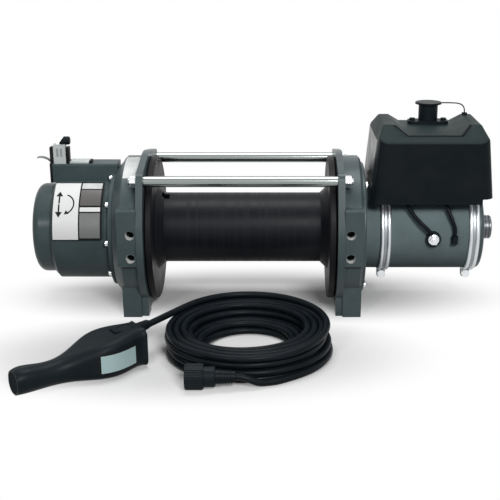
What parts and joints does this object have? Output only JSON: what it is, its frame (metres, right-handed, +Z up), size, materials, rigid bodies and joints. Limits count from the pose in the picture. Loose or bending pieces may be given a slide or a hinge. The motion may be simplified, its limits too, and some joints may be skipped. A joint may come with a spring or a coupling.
{
  "type": "electric winch",
  "caption": "Electric winch with drum between two supports, planetary gear housing, motor, control box, clutch lever and corded hand remote.",
  "frame": {"origin": "centre of the base bolt pattern, on the mounting face under the two supports", "axes": "+X along the drum axis from the gear housing to the motor, +Z up, -Y to the rope side"},
  "size_m": [0.553, 0.3827, 0.2437],
  "materials": {
    "slate_paint": "satin grey-green paint on castings",
    "drum_black": "satin black paint",
    "zinc": "bright zinc plate",
    "gear_steel": "machined steel",
    "core_iron": "laminated iron",
    "bronze": "plain bronze",
    "copper": "bare copper and carbon",
    "box_plastic": "satin moulded black",
    "black_plastic": "moulded black",
    "cord_rubber": "smooth rubber"
  },
  "bodies": {
    "winch_frame": {"motor_side_support": "slate_paint", "gear_side_support": "slate_paint", "tie_rods": "zinc", "tie_rod_nuts": "zinc", "drum_bushes": "bronze", "gear_housing": "slate_paint", "ring_gear": "gear_steel", "clutch_end_plate": "drum_black", "flange_bolts": "zinc", "gear_end_cap": "slate_paint", "motor_flange": "slate_paint", "motor_case": "slate_paint", "motor_end_bell": "slate_paint", "pole_shoes": "core_iron", "brush_gear": "copper", "shaft_bearings": "gear_steel", "clamp_bands": "zinc", "clamp_bolts": "zinc", "terminal_insulators": "black_plastic", "terminal_hardware": "zinc", "motor_leads": "cord_rubber", "control_box_cover": "box_plastic", "control_box_tray": "gear_steel", "contactors": "black_plastic", "socket": "black_plastic", "socket_screws": "black_plastic", "cap_tether": "cord_rubber", "cord_coil": "cord_rubber", "cord_lead": "cord_rubber", "cord_tail": "cord_rubber", "plug": "black_plastic", "plug_boot": "cord_rubber", "remote_upper_shell": "black_plastic", "remote_lower_shell": "black_plastic", "strain_relief": "cord_rubber"},
    "drum": {"drum_barrel": "drum_black", "drum_flange_gear": "drum_black", "drum_flange_motor": "drum_black", "carrier_3": "gear_steel"},
    "second_carrier": {"carrier_2": "gear_steel"},
    "first_carrier": {"carrier_1": "gear_steel"},
    "rotor": {"drive_shaft": "gear_steel", "shaft_brake": "gear_steel", "armature": "core_iron", "commutator": "copper"},
    "clutch": {"clutch_shaft": "zinc", "clutch_lever": "zinc", "lever_grip": "black_plastic"},
    "lock": {"lock_pin": "zinc"},
    "socket_cap": {"dust_cap": "cord_rubber"},
    "rocker": {"remote_rocker": "black_plastic"},
    "planet_gear_1a": {"planet_1a": "gear_steel"},
    "planet_gear_1b": {"planet_1b": "gear_steel"},
    "planet_gear_1c": {"planet_1c": "gear_steel"},
    "planet_gear_2a": {"planet_2a": "gear_steel"},
    "planet_gear_2b": {"planet_2b": "gear_steel"},
    "planet_gear_2c": {"planet_2c": "gear_steel"},
    "planet_gear_3a": {"planet_3a": "gear_steel"},
    "planet_gear_3b": {"planet_3b": "gear_steel"},
    "planet_gear_3c": {"planet_3c": "gear_steel"}
  },
  "joints": [
    {"name": "drum_spin", "type": "hinge", "parent": "winch_frame", "child": "drum", "pos_m": [0, 0, 0.094], "axis": [1, 0, 0], "continuous": true},
    {"name": "second_carrier_spin", "type": "hinge", "parent": "winch_frame", "child": "second_carrier", "pos_m": [-0.179, 0, 0.094], "axis": [1, 0, 0], "continuous": true},
    {"name": "first_carrier_spin", "type": "hinge", "parent": "winch_frame", "child": "first_carrier", "pos_m": [-0.199, 0, 0.094], "axis": [1, 0, 0], "continuous": true},
    {"name": "rotor_spin", "type": "hinge", "parent": "winch_frame", "child": "rotor", "pos_m": [0.2, 0, 0.094], "axis": [1, 0, 0], "continuous": true},
    {"name": "planet_1a_spin", "type": "hinge", "parent": "first_carrier", "child": "planet_gear_1a", "pos_m": [-0.2115, 0, 0.1246], "axis": [1, 0, 0], "continuous": true},
    {"name": "planet_1b_spin", "type": "hinge", "parent": "first_carrier", "child": "planet_gear_1b", "pos_m": [-0.2115, -0.0265, 0.0787], "axis": [1, 0, 0], "continuous": true},
    {"name": "planet_1c_spin", "type": "hinge", "parent": "first_carrier", "child": "planet_gear_1c", "pos_m": [-0.2115, 0.0265, 0.0787], "axis": [1, 0, 0], "continuous": true},
    {"name": "planet_2a_spin", "type": "hinge", "parent": "second_carrier", "child": "planet_gear_2a", "pos_m": [-0.1909, 0, 0.1246], "axis": [1, 0, 0], "continuous": true},
    {"name": "planet_2b_spin", "type": "hinge", "parent": "second_carrier", "child": "planet_gear_2b", "pos_m": [-0.1909, -0.0265, 0.0787], "axis": [1, 0, 0], "continuous": true},
    {"name": "planet_2c_spin", "type": "hinge", "parent": "second_carrier", "child": "planet_gear_2c", "pos_m": [-0.1909, 0.0265, 0.0787], "axis": [1, 0, 0], "continuous": true},
    {"name": "planet_3a_spin", "type": "hinge", "parent": "drum", "child": "planet_gear_3a", "pos_m": [-0.1663, 0, 0.1246], "axis": [1, 0, 0], "continuous": true},
    {"name": "planet_3b_spin", "type": "hinge", "parent": "drum", "child": "planet_gear_3b", "pos_m": [-0.1663, -0.0265, 0.0787], "axis": [1, 0, 0], "continuous": true},
    {"name": "planet_3c_spin", "type": "hinge", "parent": "drum", "child": "planet_gear_3c", "pos_m": [-0.1663, 0.0265, 0.0787], "axis": [1, 0, 0], "continuous": true},
    {"name": "clutch_turn", "type": "hinge", "parent": "winch_frame", "child": "clutch", "pos_m": [-0.22, 0.002, 0.166], "axis": [-1, 0, 0], "range_deg": [0, 75]},
    {"name": "lock_lift", "type": "slide", "parent": "winch_frame", "child": "lock", "axis": [0, 0, 1], "range_m": [0, 0.00354]},
    {"name": "cap_pull", "type": "slide", "parent": "winch_frame", "child": "socket_cap", "axis": [0, 0, 1], "range_m": [0, 0.011], "deforming": ["cap_tether"]},
    {"name": "rocker_tilt", "type": "hinge", "parent": "winch_frame", "child": "rocker", "pos_m": [-0.1223, -0.20629, 0.0391], "axis": [-0.5878, 0.809, 0], "range_deg": [-7, 7], "stiffness_Nm_per_rad": 0.05}
  ],
  "couplings": [
    {"joint": "second_carrier_spin", "follows": "drum_spin", "ratio": 6},
    {"joint": "first_carrier_spin", "follows": "drum_spin", "ratio": 36},
    {"joint": "rotor_spin", "follows": "drum_spin", "ratio": 216},
    {"joint": "planet_1a_spin", "follows": "drum_spin", "ratio": -90},
    {"joint": "planet_1b_spin", "follows": "drum_spin", "ratio": -90},
    {"joint": "planet_1c_spin", "follows": "drum_spin", "ratio": -90},
    {"joint": "planet_2a_spin", "follows": "drum_spin", "ratio": -15},
    {"joint": "planet_2b_spin", "follows": "drum_spin", "ratio": -15},
    {"joint": "planet_2c_spin", "follows": "drum_spin", "ratio": -15},
    {"joint": "planet_3a_spin", "follows": "drum_spin", "ratio": -2.5},
    {"joint": "planet_3b_spin", "follows": "drum_spin", "ratio": -2.5},
    {"joint": "planet_3c_spin", "follows": "drum_spin", "ratio": -2.5},
    {"joint": "lock_lift", "follows": "clutch_turn", "m_per_rad": 0.0026973}
  ]
}
